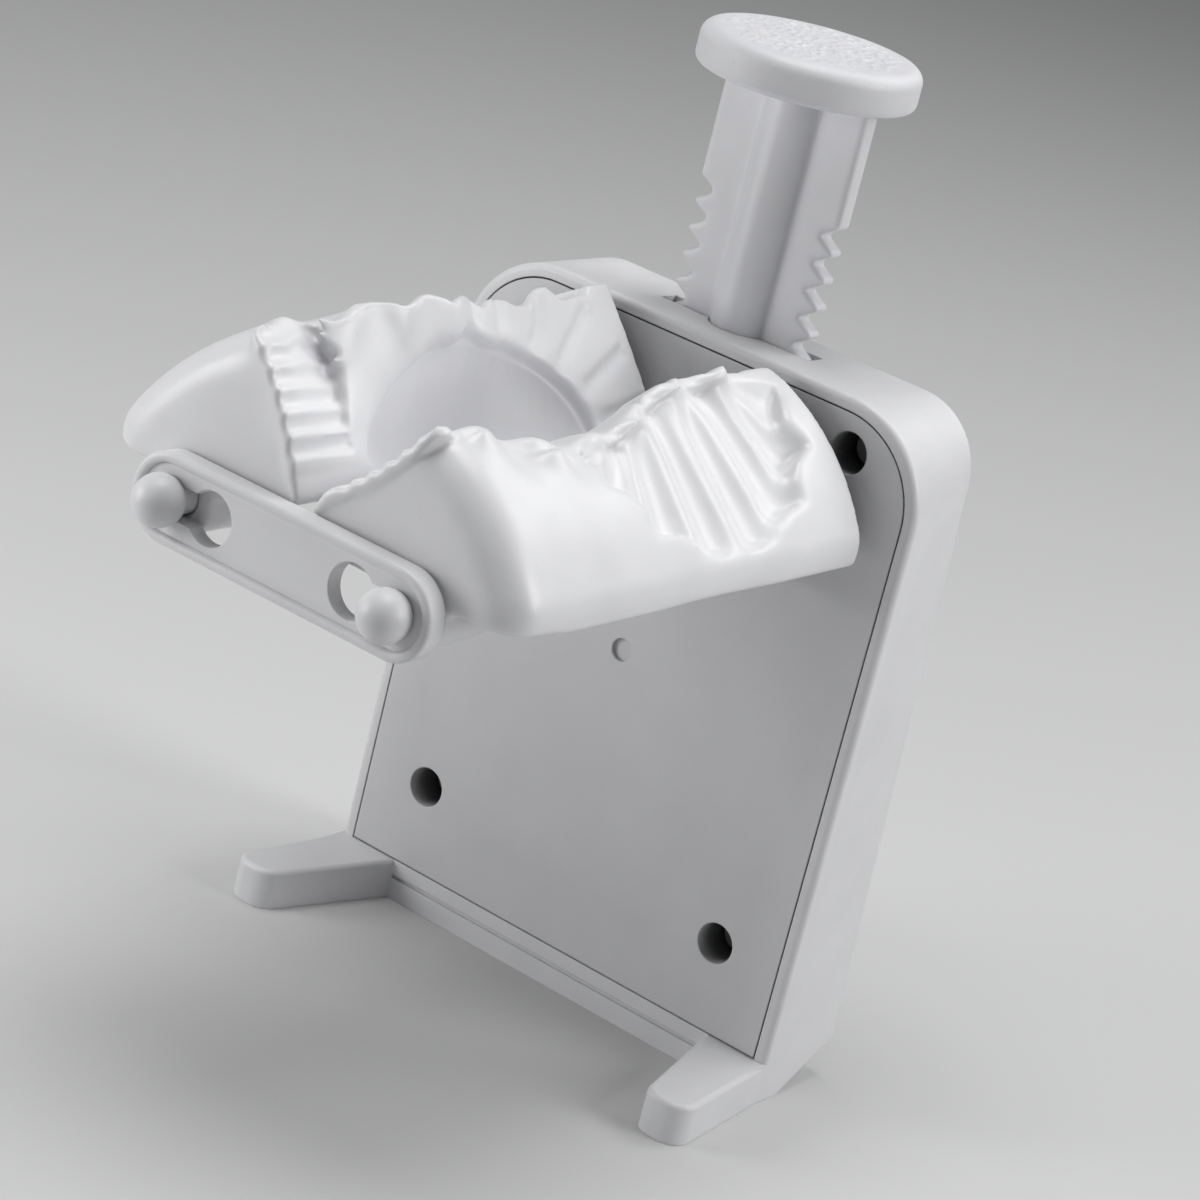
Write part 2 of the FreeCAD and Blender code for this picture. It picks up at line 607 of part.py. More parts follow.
def pinion_outline(first_tooth):
    """Involute gear outline about the Y axis, with a tooth at a given angle from +X towards +Z."""
    teeth = int(v.pinion_teeth)
    pitch_radius = value(PITCH_RADIUS)
    base = pitch_radius * math.cos(math.radians(v.pressure_angle))
    tip = pitch_radius + v.gear_module * v.addendum_share
    root = pitch_radius - v.gear_module * v.dedendum_share

    def roll(radius):
        turn = math.acos(min(1, base / radius))
        return math.tan(turn) - turn

    half_tooth = math.pi / 2 / teeth - v.backlash / 4 / pitch_radius + roll(pitch_radius)

    def at(radius, angle):
        return Vector(radius * math.cos(angle), 0, radius * math.sin(angle))

    flank_steps = 5
    radii = [base + (tip - base) * step / flank_steps for step in range(flank_steps + 1)]
    edges = []
    for tooth in range(teeth):
        middle = first_tooth + 2 * math.pi * tooth / teeth
        rising = [at(radius, middle - half_tooth + roll(radius)) for radius in radii]
        falling = [at(radius, middle + half_tooth - roll(radius)) for radius in reversed(radii)]
        next_middle = middle + 2 * math.pi / teeth
        valley = [at(root, middle + half_tooth), at(root, (middle + next_middle) / 2), at(root, next_middle - half_tooth)]
        up, down = Part.BSplineCurve(), Part.BSplineCurve()
        up.interpolate(rising)
        down.interpolate(falling)
        edges += [Part.LineSegment(at(root, middle - half_tooth), rising[0]).toShape(), up.toShape(),
                  Part.Arc(rising[-1], at(tip, middle), falling[0]).toShape(), down.toShape(),
                  Part.LineSegment(falling[-1], valley[0]).toShape(), Part.Arc(*valley).toShape()]
    return Part.Wire(edges)


def pinions():
    """Each pinion stands in mesh with its rack, one tooth in a space, and its socket is turned with the mould."""
    rack_space = value(f"{CAP_HEIGHT} - rack_drop - {PIVOT_HEIGHT}")
    offset = rack_space % (math.pi * v.gear_module) / value(PITCH_RADIUS)
    for name, side in SIDES:
        facing = math.pi - offset if side > 0 else offset
        blank = extruded(f"pinion_blank_{name}", pinion_outline(facing + side * math.radians(v.open_angle)), Y_AXIS,
                         "pinion_width", symmetric=True)
        socket_half = "(shaft_square / 2 + running_gap)"
        socket = box(f"pinion_socket_{name}", (f"-{socket_half}", socket_half),
                     ("-pinion_width / 2 - overrun", "pinion_width / 2 + overrun"), (f"-{socket_half}", socket_half))
        gear = cut(f"{name}_pinion", blank, [socket])
        place(gear, f"{side} * {PIVOT}", "0", PIVOT_HEIGHT, Rotation(Y_AXIS, side * v.open_angle))
        sub_part(gear, f"{name}_pinion")


def drive_shafts():
    """Square in the pinion and in the mould, round in the two bearings."""
    half = "shaft_square / 2"
    shoulder = f"({MOULD_BACK} + running_gap)"
    for name, side in SIDES:
        pieces = [
            rod(f"{name}_rear_journal", "shaft_rear", "pinion_width / 2", f"{BACK} - back_wall - shaft_end_gap",
                turn=ALONG_Y),
            box(f"{name}_shaft_square", (f"-{half}", half), ("-pinion_width / 2", "pinion_width / 2"), (f"-{half}", half)),
            rod(f"{name}_front_journal", "shaft_front", shoulder, "-pinion_width / 2", turn=ALONG_Y),
            box(f"{name}_shaft_drive", (f"-{half}", half), (f"{shoulder} - drive_length", shoulder), (f"-{half}", half)),
        ]
        shaft = fuse(f"{name}_drive_shaft", pieces)
        place(shaft, f"{side} * {PIVOT}", "0", PIVOT_HEIGHT, Rotation(Y_AXIS, side * v.open_angle))
        sub_part(shaft, f"{name}_drive_shaft")


# Moulds: drawn closed, with the pivot on the Y axis and the parting face towards +X.
# At the top the parting face is bowed to the right, so the left mould bulges there and the right one is hollow.

FACE = value(f"{PIVOT} - closing_gap / 2")
MIDDLE = value(f"{FRONT} - bowl_setback")
REAR = value(MOULD_BACK)
NOSE = value(MOULD_FRONT)
FLOOR = value("mould_wall - lip_drop")
ABOVE = max(v.flange_top, v.roof_crown) + v.overrun
BOW_MIDDLE = value(f"{FRONT} - crescent_setback")
FAN_MIDDLE = value(f"{FRONT} - fan_setback")
BOW_ANGLE = 2 * math.atan(v.crescent / v.crescent_half)
BOW_RADIUS = v.crescent_half / 2 / math.sin(BOW_ANGLE)


def inside(depth, y, height):
    """A point at a depth behind the unbowed parting face."""
    return Vector(FACE - depth, y, height)


def bow_share(y):
    """How much of the bow shows at a place along the face: two arcs each way, 1 in the middle and 0 at the ends."""
    off = abs(y - BOW_MIDDLE)
    if off >= v.crescent_half:
        return 0
    if off >= v.crescent_half / 2:
        return (BOW_RADIUS - math.sqrt(BOW_RADIUS ** 2 - (v.crescent_half - off) ** 2)) / v.crescent
    return 1 - (BOW_RADIUS - math.sqrt(BOW_RADIUS ** 2 - off ** 2)) / v.crescent


def on_face(bow, depth, y, height):
    """A point at a depth behind the bowed face. The bow starts at the pivot's height and grows upwards."""
    rise_share = max(0, height) / v.flange_top
    return inside(depth - bow * bow_share(y) * rise_share, y, height)


def face_line(bow, depth, height):
    """The parting face at a height, front to back, as two straight ends and four arcs."""
    half = v.crescent_half
    front_end = min(NOSE, BOW_MIDDLE - half) - v.overrun
    rear_end = max(REAR, BOW_MIDDLE + half) + v.overrun
    stops = [BOW_MIDDLE + half * step / 4 for step in range(-4, 5)]
    points = [on_face(bow, depth, y, height) for y in stops]
    edges = [Part.LineSegment(on_face(bow, depth, front_end, height), points[0]).toShape()]
    for first in range(0, len(stops) - 1, 2):
        begin, middle, finish = points[first:first + 3]
        if height > 0:
            edges.append(Part.Arc(begin, middle, finish).toShape())
        else:
            edges.append(Part.LineSegment(begin, finish).toShape())
    edges.append(Part.LineSegment(points[-1], on_face(bow, depth, rear_end, height)).toShape())
    return edges


def closed_between(edges, others):
    """A wire from two lines that run the same way."""
    ends = [side[-1].lastVertex().Point for side in (edges, others)]
    starts = [side[0].firstVertex().Point for side in (edges, others)]
    wires = [Part.Wire(edges), Part.Wire(others)]
    bridges = [Part.LineSegment(ends[0], ends[1]).toShape(), Part.LineSegment(starts[1], starts[0]).toShape()]
    return Part.Wire(Part.__sortEdges__(wires[0].Edges + bridges[:1] + wires[1].Edges + bridges[1:]))


def between_faces(bow, shallow, deep, low, high):
    """The space between two depths behind the bowed face."""
    rings = [closed_between(face_line(bow, shallow, height), face_line(bow, deep, height)) for height in (low, high)]
    return Part.makeLoft(rings, True, True)


def loaf_section(y, scale, inset, spare, bulge):
    """Section of the loaf, shrunk towards the back of its lower lip."""
    low = -v.lip_drop - spare
    heel = (v.lip_end, low)

    def at(depth, height):
        return inside(heel[0] + (depth - heel[0]) * scale, y, heel[1] + (height - heel[1]) * scale)

    start = at(v.lip_start + inset, low)
    chest = at(inset, 0)
    edge = at(inset - bulge, v.roof_edge - inset)
    crown = at(v.roof_middle, v.roof_crown - inset)
    shoulder = at(v.roof_end - inset / 2, v.roof_fall - inset)
    bend = at(v.shoulder_reach - inset, v.shoulder_height - inset)
    skirt = at(v.loaf_reach - inset, v.skirt_height - spare)
    back = at(v.lip_end + spare, low)
    return Part.Wire([
        Part.LineSegment(start, chest).toShape(),
        Part.LineSegment(chest, edge).toShape(),
        Part.Arc(edge, crown, shoulder).toShape(),
        Part.Arc(shoulder, bend, skirt).toShape(),
        Part.LineSegment(skirt, back).toShape(),
        Part.LineSegment(back, start).toShape(),
    ])


def loaf(inset, spare, bulge):
    """The loaf with its rounded front, or the core that hollows it."""
    front = NOSE + v.dome_setback + inset
    rear = REAR - inset
    dome_start = front + v.dome_length
    straight = Part.makeLoft([loaf_section(y, 1, inset, spare, bulge) for y in (rear, dome_start)], True, True)
    dome_steps = 5
    lowest = math.acos(v.dome_share)
    rings = []
    for step in range(dome_steps + 1):
        angle = lowest * step / dome_steps
        rings.append(loaf_section(dome_start - v.dome_length * math.sin(angle) / math.sin(lowest), math.cos(angle),
                                  inset, spare, bulge))
    dome = Part.makeLoft(rings, True, False)
    return straight.fuse(dome)


def bowl_section(bow, off_share, margin, low, front):
    """Quarter-round section of the bowl at a share of its half length."""
    shrink = math.sqrt(1 - off_share ** 2)
    y = MIDDLE + off_share * (v.bowl_half + margin)
    depth, rise = (v.bowl_depth + margin) * shrink, (v.bowl_rise + margin * 2) * shrink
    bend_steps = 4
    bend = [on_face(bow, depth * math.cos(math.pi / 2 * step / bend_steps), y,
                    low + rise * math.sin(math.pi / 2 * step / bend_steps)) for step in range(bend_steps + 1)]
    curve = Part.BSplineCurve()
    curve.interpolate(bend)
    outer_low, outer_high = on_face(bow, -front, y, low), on_face(bow, -front, y, low + rise)
    return Part.Wire([
        Part.LineSegment(outer_low, bend[0]).toShape(),
        curve.toShape(),
        Part.LineSegment(bend[-1], outer_high).toShape(),
        Part.LineSegment(outer_high, outer_low).toShape(),
    ])


def bowl(bow, margin, low, front):
    """Half bowl behind the parting face, above its floor, in narrow strips that lie closer at its ends."""
    steps = 24
    first_turn, whole_turn = 0.04 * math.pi, 0.92 * math.pi
    shares = [-math.cos(first_turn + whole_turn * step / steps) for step in range(steps + 1)]
    return Part.makeLoft([bowl_section(bow, off_share, margin, low, front) for off_share in shares], True, True)


def upright_prism(outline, low, high):
    """A plan outline, drawn up between two heights."""
    face = Part.Face(outline)
    face.translate(Vector(0, 0, low))
    return face.extrude(Vector(0, 0, high - low))


def fan_prism(margin, low, high):
    """The half-round field of the fan, behind the flange."""
    reach = v.fan_reach - v.flange_thickness + margin
    half = v.fan_half + margin
    centre = inside(v.flange_thickness, FAN_MIDDLE, 0)
    if half >= reach:
        curve = Part.Ellipse(centre + Y_AXIS * half, centre - X_AXIS * reach, centre)
    else:
        curve = Part.Ellipse(centre - X_AXIS * reach, centre + Y_AXIS * half, centre)
    return upright_prism(Part.Wire([curve.toShape()]), low, high)


def groove(start, end, start_width, end_width, start_depth, end_depth, outward):
    """A round-bottomed cutter that leaves a groove of given widths and depths in a face."""
    def radius_of(width, depth):
        return (width * width / 4 + depth * depth) / 2 / depth

    first, last = radius_of(start_width, start_depth), radius_of(end_width, end_depth)
    low = start + outward * (first - start_depth)
    high = end + outward * (last - end_depth)
    if abs(first - last) < 1e-9:
        return Part.makeCylinder(first, (high - low).Length, low, high - low)
    return Part.makeCone(first, last, (high - low).Length, low, high - low)


def flutes(bow):
    """Flutes that fan out from the rim over the roof."""
    core = inside(v.flange_thickness, FAN_MIDDLE, v.fan_floor)
    cutters = []
    for number in range(int(v.flute_count)):
        angle = math.pi * (number + 0.5) / v.flute_count
        start = on_face(bow, v.flange_thickness, FAN_MIDDLE + v.fan_core_half * math.cos(angle), v.fan_floor)
        end = core - X_AXIS * (v.fan_reach - v.flange_thickness) * math.sin(angle) + Y_AXIS * v.fan_half * math.cos(angle)
        cutters.append(groove(start, end, v.flute_inner, v.flute_outer, v.flute_depth_inner, v.flute_depth_outer, Z_AXIS))
    return cutters


def pleats(bow):
    """Level pleats at the front of the flange, and the same number fanned round its rounded back corner."""
    cutters = []
    top = v.flange_top - v.pleat_pitch / 2
    front_end = NOSE - v.overrun
    for number in range(int(v.pleat_count)):
        height = top - number * v.pleat_pitch
        start = inside(0, front_end, height)
        end = inside(0, front_end + v.pleat_length, height)
        cutters.append(groove(start, end, v.pleat_width, v.pleat_width, v.pleat_depth, v.pleat_depth, X_AXIS))
        angle = math.pi / 2 * (number + 0.5) / v.pleat_count
        starts, ends = v.pleat_gap, v.pleat_gap + v.pleat_length
        points = [on_face(bow, 0, MIDDLE + (v.bowl_half + gap) * math.cos(angle),
                          FLOOR + (v.bowl_rise + gap) * math.sin(angle)) for gap in (starts, ends)]
        cutters.append(groove(*points, v.pleat_width, v.pleat_width, v.pleat_depth, v.pleat_depth, X_AXIS))
    return cutters


def scallops(bow):
    """Dips along the top of the flange."""
    cutters = []
    for number in range(int(v.scallop_count)):
        y = value(f"{FRONT} - scallop_setback") + (number - (v.scallop_count - 1) / 2) * v.scallop_pitch
        ends = [on_face(bow, depth, y, v.flange_top) for depth in (v.flange_thickness, -v.flange_thickness - v.overrun)]
        cutters.append(groove(*ends, v.scallop_width, v.scallop_width, v.scallop_depth, v.scallop_depth, Z_AXIS))
    return cutters


def flange(bow):
    """Bowed plate at the parting face, rounded at its upper corners."""
    rear = REAR - v.flange_rear_gap
    top, low = v.flange_top, -v.lip_drop
    front_turn, rear_turn = v.flange_front_round, v.flange_rear_round
    bend = 1 - math.sqrt(0.5)
    near = -v.crescent - v.overrun
    outline = Part.Wire([
        Part.LineSegment(inside(near, rear, low), inside(near, rear, top - rear_turn)).toShape(),
        Part.Arc(inside(near, rear, top - rear_turn), inside(near, rear - rear_turn * bend, top - rear_turn * bend),
                 inside(near, rear - rear_turn, top)).toShape(),
        Part.LineSegment(inside(near, rear - rear_turn, top), inside(near, NOSE + front_turn, top)).toShape(),
        Part.Arc(inside(near, NOSE + front_turn, top), inside(near, NOSE + front_turn * bend, top - front_turn * bend),
                 inside(near, NOSE, top - front_turn)).toShape(),
        Part.LineSegment(inside(near, NOSE, top - front_turn), inside(near, NOSE, low)).toShape(),
        Part.LineSegment(inside(near, NOSE, low), inside(near, rear, low)).toShape(),
    ])
    window = Part.Face(outline).extrude(Vector(near * 2 - v.flange_thickness, 0, 0))
    upper = between_faces(bow, 0, v.flange_thickness, 0, ABOVE)
    lower = Part.makeBox(v.flange_thickness, v.mould_length, v.lip_drop, inside(v.flange_thickness, NOSE, -v.lip_drop))
    return window.common(upper.fuse(lower))


def lip_relief():
    """Cutter that keeps the lower lip inside the circle it swings through."""
    block = Part.makeBox(v.bowl_depth + v.overrun, v.mould_length + v.overrun * 2, v.lip_drop + v.overrun,
                         inside(v.bowl_depth, NOSE - v.overrun, -v.lip_drop - v.overrun))
    swing = Part.makeCylinder(FACE, v.mould_length + v.overrun * 4, Vector(0, NOSE - v.overrun * 2, 0), Y_AXIS)
    return block.cut(swing)


def mould(bow):
    """One half mould: hollow loaf, bowl, pleated flange and the hubs for the drive shaft and the pin."""
    wall = v.mould_wall
    rear_hub = Part.makeCylinder(v.hub_radius, v.hub_length, Vector(0, REAR - v.hub_length, 0), Y_AXIS)
    front_hub = Part.makeCylinder(v.hub_radius, v.pin_hub_length, Vector(0, NOSE, 0), Y_AXIS)
    web = Part.makeBox(v.web_thickness, REAR - NOSE - v.dome_length, v.roof_edge,
                       Vector(-v.web_thickness / 2, NOSE + v.dome_length, 0))
    outside = loaf(0, 0, max(0, bow))
    bowl_wall = bowl(bow, wall, -v.lip_drop, v.overrun / 2)
    fan_pad = fan_prism(wall + v.flute_outer / 2, v.fan_floor - v.flute_depth_outer - wall, v.flange_top)
    core = loaf(wall, v.overrun, 0).cut([bowl_wall, fan_pad, web.common(outside)])
    solid = outside.cut(core)
    for cutter in [fan_prism(0, v.fan_floor, ABOVE)] + flutes(bow):
        solid = solid.cut(cutter)
    beyond = between_faces(bow, -v.loaf_reach, 0, 0, ABOVE)
    below = Part.makeBox(v.loaf_reach, v.mould_length, v.lip_drop + v.overrun, inside(0, NOSE, -v.lip_drop - v.overrun))
    bowl_shell = bowl_wall.cut(beyond).cut(below)
    solid = solid.cut(beyond).fuse([flange(bow), bowl_shell, rear_hub, front_hub])
    socket_half = v.shaft_square / 2 + v.running_gap
    socket_length = v.drive_length + v.running_gap + v.overrun
    socket = Part.makeBox(socket_half * 2, socket_length, socket_half * 2,
                          Vector(-socket_half, REAR - socket_length + v.overrun, -socket_half))
    pin_hole = Part.makeCylinder(v.pin_shank + v.running_gap, v.pin_shank_length + v.overrun,
                                 Vector(0, NOSE - v.overrun, 0), Y_AXIS)
    cutters = [bowl(bow, 0, FLOOR, v.crescent), lip_relief(), socket, pin_hole] + pleats(bow) + scallops(bow)
    for cutter in cutters:
        solid = solid.cut(cutter)
    return solid


def moulds():
    for name, side in SIDES:
        shape = mould(-side * v.crescent)
        half = doc.addObject("Part::Feature", f"{name}_mould")
        half.Shape = shape if side < 0 else shape.mirror(Vector(), X_AXIS)
        place(half, f"{side} * {PIVOT}", "0", PIVOT_HEIGHT, Rotation(Y_AXIS, side * v.open_angle))
        sub_part(half, f"{name}_mould")


# Pivot pins and the link plate

def pivot_pins():
    head_back = f"({LINK_FACE} - pin_head_gap)"
    neck = "pin_shank"
    for name, side in SIDES:
        stem = rod(f"{name}_pin_stem", neck, f"{head_back} - pin_head / 2", f"{MOULD_FRONT} + pin_shank_length",
                   turn=ALONG_Y)
        ball = doc.addObject("Part::Sphere", f"{name}_pin_ball")
        bind(ball, "Radius", "pin_head")
        place(ball, "0", f"{head_back} - pin_head / 2", "0")
        behind = box(f"{name}_pin_flat", ("-pin_head - overrun", "pin_head + overrun"), (head_back, f"{head_back} + pin_head"),
                     ("-pin_head - overrun", "pin_head + overrun"))
        pin = fuse(f"{name}_pivot_pin", [stem, cut(f"{name}_pin_head", ball, [behind])])
        place(pin, f"{side} * {PIVOT}", "0", PIVOT_HEIGHT)
        sub_part(pin, f"{name}_pivot_pin")


def strap(name, radius, y):
    """A stadium-shaped bar between the two pivots."""
    ends = [rod(f"{name}_end_{end}", radius, y[0], y[1], f"{side} * {PIVOT}", z=PIVOT_HEIGHT, turn=ALONG_Y)
            for end, side in SIDES]
    middle = box(f"{name}_middle", (f"-{PIVOT}", PIVOT), y, (f"{PIVOT_HEIGHT} - ({radius})", f"{PIVOT_HEIGHT} + ({radius})"))
    merged = fuse(name, ends + [middle])
    merged.Refine = True
    return merged


def link_plate():
    front = value(LINK_FRONT)
    face = value(LINK_FACE)
    openings = [strap("link_recess", "link_end - bead_width", (f"{LINK_FRONT} - overrun", LINK_FACE))]
    dished = cut("link_dished", strap("link_blank", "link_end", (LINK_FRONT, LINK_BACK)), openings)

    def on_bead(edge):
        return abs(edge.BoundBox.YMin - front) < 1e-6 and abs(edge.BoundBox.YMax - front) < 1e-6

    soft = rounded("link_soft", dished, v.bead_round, on_bead)
    through = (f"{LINK_FRONT} - overrun", f"{LINK_BACK} + overrun")
    slot_half = "(pin_shank + running_gap)"
    keyholes = []
    for name, side in SIDES:
        keyholes += [
            rod(f"keyhole_{name}", "keyhole_radius", *through, f"{side} * ({PIVOT} - keyhole_offset)", z=PIVOT_HEIGHT,
                turn=ALONG_Y),
            rod(f"pin_seat_{name}", slot_half, *through, f"{side} * {PIVOT}", z=PIVOT_HEIGHT, turn=ALONG_Y),
            box(f"keyway_{name}", (f"{PIVOT} - keyhole_offset", PIVOT) if side > 0 else
                (f"-{PIVOT}", f"keyhole_offset - {PIVOT}"), through,
                (f"{PIVOT_HEIGHT} - {slot_half}", f"{PIVOT_HEIGHT} + {slot_half}")),
        ]
    sub_part(cut("link_plate", soft, keyholes), "link_plate")


housing()
front_cover()
cover_screws()
plunger_rod()
press_cap()
spring_guide()
return_spring()
pinions()
drive_shafts()
moulds()
pivot_pins()
link_plate()
doc.recompute()

for item in doc.Objects:
    if {"Invalid", "Error"} & set(item.State):
        raise RuntimeError(f"{item.Name} did not build: {item.State}")
for item in finished:
    if item.Shape.isNull() or not item.Shape.isValid():
        raise RuntimeError(f"{item.Label} has no valid shape")

os.makedirs("parts", exist_ok=True)
for item in finished:
    item.Shape.exportStep(f"parts/{item.Label}.step")
    print(f"{item.Label}: {len(item.Shape.Solids)} solid, {item.Shape.Volume / 1000:.2f} cm3")
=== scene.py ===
import json
import math

import bmesh
import bpy
import numpy as np
from mathutils import Matrix, Vector, noise as field


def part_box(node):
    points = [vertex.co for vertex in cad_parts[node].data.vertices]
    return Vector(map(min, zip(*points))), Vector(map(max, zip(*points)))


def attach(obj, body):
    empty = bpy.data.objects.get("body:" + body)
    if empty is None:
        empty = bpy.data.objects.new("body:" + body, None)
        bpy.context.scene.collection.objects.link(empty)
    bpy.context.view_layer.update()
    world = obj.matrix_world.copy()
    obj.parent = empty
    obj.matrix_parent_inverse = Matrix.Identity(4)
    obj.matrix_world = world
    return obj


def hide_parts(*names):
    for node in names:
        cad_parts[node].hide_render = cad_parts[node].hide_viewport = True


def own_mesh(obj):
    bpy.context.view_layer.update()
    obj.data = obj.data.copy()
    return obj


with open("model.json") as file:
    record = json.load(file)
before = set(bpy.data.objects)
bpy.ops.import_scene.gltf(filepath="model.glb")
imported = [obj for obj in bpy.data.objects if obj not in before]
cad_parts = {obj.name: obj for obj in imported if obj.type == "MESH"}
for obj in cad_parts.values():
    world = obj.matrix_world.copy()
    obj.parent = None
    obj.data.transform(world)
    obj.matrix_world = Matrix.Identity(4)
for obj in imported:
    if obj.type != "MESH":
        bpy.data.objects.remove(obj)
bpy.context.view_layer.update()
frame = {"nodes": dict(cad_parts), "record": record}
nodes = frame["nodes"]
record = frame["record"]
joints = record["behaviour"]["joints"]
hinge_of = {joint["child"]: joint for joint in joints if joint["type"] == "hinge"}
slot_of = {row["node"]: row["material_slot"] for row in record["subparts"]}
body_of = {node: body for body, members in record["behaviour"]["bodies"].items() for node in members}

MM = 0.001


# Materials

HOUSING_GREY = (0.68, 0.68, 0.69)
COVER_GREY = (0.58, 0.58, 0.59)
PLUNGER_GREY = (0.68, 0.68, 0.70)
MOULD_WHITE = (0.74, 0.74, 0.755)
NATURAL = (0.70, 0.68, 0.62)
STEEL = (0.60, 0.60, 0.61)

PLASTIC_IOR = 1.5
MOTTLE_SIZE, MOTTLE = 16 * MM, 0.03
SPECK_SIZE, SPECK_SHARE, SPECK_SHADE, SPECK_RANGE = 0.9 * MM, 0.35, 0.8, (0.72, 0.8)
WORN_SHARE, WORN_SHADE, WORN_RANGE = 0.5, 1.1, (0.53, 0.62)
GLOSS_SIZE, GLOSS_SPREAD = 5 * MM, 0.06
GRAIN_SIZE, GRAIN_STRENGTH = 0.35 * MM, 0.5
# Painted shade in recesses: its greatest share, how dark it makes the colour and the occlusion values it spans
PAINTED_SHADE_SHARE, PAINTED_SHADE_TONE, PAINTED_SHADE_RANGE = 0.92, 0.06, (0.12, 0.42)
TARNISH_SIZE, TARNISH_SHARE, TARNISH_SHADE = 4 * MM, 0.5, 0.8
MARK_SIZE, MARK_LOW, MARK_HIGH = 0.5 * MM, 0.08, 0.1
NOISE_ROUGHNESS, NOISE_RANGE = 0.55, (0.3, 0.7)


def shaded(colour, share):
    """A colour made darker or paler by a share."""
    return tuple(min(1, channel * share) for channel in colour)


class Finish:
    """A new material with its main shader, and what adds nodes to it."""

    def __init__(self, name):
        self.material = bpy.data.materials.new(name)
        self.material.use_nodes = True
        self.tree = self.material.node_tree
        self.main = self.tree.nodes["Principled BSDF"]

    def add(self, kind, numbers=None, **settings):
        """A node with its settings and the numbers on its inputs."""
        node = self.tree.nodes.new(kind)
        for key, setting in settings.items():
            setattr(node, key, setting)
        for key, number in (numbers or {}).items():
            node.inputs[key].default_value = number
        return node

    def link(self, output, node, key):
        self.tree.links.new(output, node.inputs[key])

    def noise(self, size, detail=3.0, stretch=(1, 1, 1)):
        """Noise in the part's own frame, with features of a given size in metres."""
        place = self.add("ShaderNodeTexCoord")
        spread = self.add("ShaderNodeMapping", {"Scale": stretch})
        texture = self.add("ShaderNodeTexNoise", {"Scale": 1 / size, "Detail": detail, "Roughness": NOISE_ROUGHNESS})
        self.link(place.outputs["Object"], spread, "Vector")
        self.link(spread.outputs["Vector"], texture, "Vector")
        return texture.outputs["Fac"]

    def mapped(self, output, low, high, limits=NOISE_RANGE):
        """A value between two limits, spread between two numbers."""
        start, end = limits
        node = self.add("ShaderNodeMapRange", {"From Min": start, "From Max": end, "To Min": low, "To Max": high})
        self.link(output, node, "Value")
        return node.outputs["Result"]

    def blended(self, share, first, second):
        """Two colours mixed by a share; the first may be a colour or another mix."""
        mix = self.add("ShaderNodeMix", data_type="RGBA")
        if isinstance(first, tuple):
            mix.inputs["A"].default_value = (*first, 1)
        else:
            self.link(first, mix, "A")
        mix.inputs["B"].default_value = (*second, 1)
        self.link(share, mix, "Factor")
        return mix.outputs["Result"]


def moulded_plastic(name, colour, roughness=0.42, bump=0.03 * MM, edge=0.45 * MM, recess=0):
    """Satin moulded plastic: flow mottle, specks, paler worn edges, uneven gloss, eroded grain and painted shade
    darkening its recesses.
    """
    finish = Finish(name)
    mottle = finish.mapped(finish.noise(MOTTLE_SIZE), 0, 1)
    tint = finish.blended(mottle, shaded(colour, 1 - MOTTLE), shaded(colour, 1 + MOTTLE))
    specks = finish.mapped(finish.noise(SPECK_SIZE, detail=1), 0, SPECK_SHARE, SPECK_RANGE)
    tint = finish.blended(specks, tint, shaded(colour, SPECK_SHADE))
    geometry = finish.add("ShaderNodeNewGeometry")
    worn = finish.mapped(geometry.outputs["Pointiness"], 0, WORN_SHARE, WORN_RANGE)
    tint = finish.blended(worn, tint, shaded(colour, WORN_SHADE))
    # Painted shade: ambient occlusion darkens the colour in recesses such as screw wells and seams
    if recess:
        painted_shade = finish.add("ShaderNodeAmbientOcclusion", {"Distance": recess}, samples=8)
        share = finish.mapped(painted_shade.outputs["AO"], PAINTED_SHADE_SHARE, 0, PAINTED_SHADE_RANGE)
        tint = finish.blended(share, tint, shaded(colour, PAINTED_SHADE_TONE))
    finish.link(tint, finish.main, "Base Color")
    gloss = finish.mapped(finish.noise(GLOSS_SIZE, detail=5), roughness - GLOSS_SPREAD, roughness + GLOSS_SPREAD)
    finish.link(gloss, finish.main, "Roughness")
    rounding = finish.add("ShaderNodeBevel", {"Radius": edge}, samples=6)
    relief = finish.add("ShaderNodeBump", {"Strength": GRAIN_STRENGTH, "Distance": bump})
    finish.link(finish.noise(GRAIN_SIZE), relief, "Height")
    finish.link(rounding.outputs["Normal"], relief, "Normal")
    finish.link(relief.outputs["Normal"], finish.main, "Normal")
    finish.main.inputs["IOR"].default_value = PLASTIC_IOR
    return finish.material


def drawn_steel(name, colour, roughness=0.3, stretch=(1, 1, 1)):
    """Bright steel with fine drawing marks and a little tarnish."""
    finish = Finish(name)
    tarnish = finish.mapped(finish.noise(TARNISH_SIZE), 0, TARNISH_SHARE)
    finish.link(finish.blended(tarnish, colour, shaded(colour, TARNISH_SHADE)), finish.main, "Base Color")
    finish.main.inputs["Metallic"].default_value = 1
    marks = finish.noise(MARK_SIZE, detail=6, stretch=stretch)
    finish.link(finish.mapped(marks, roughness - MARK_LOW, roughness + MARK_HIGH), finish.main, "Roughness")
    return finish.material


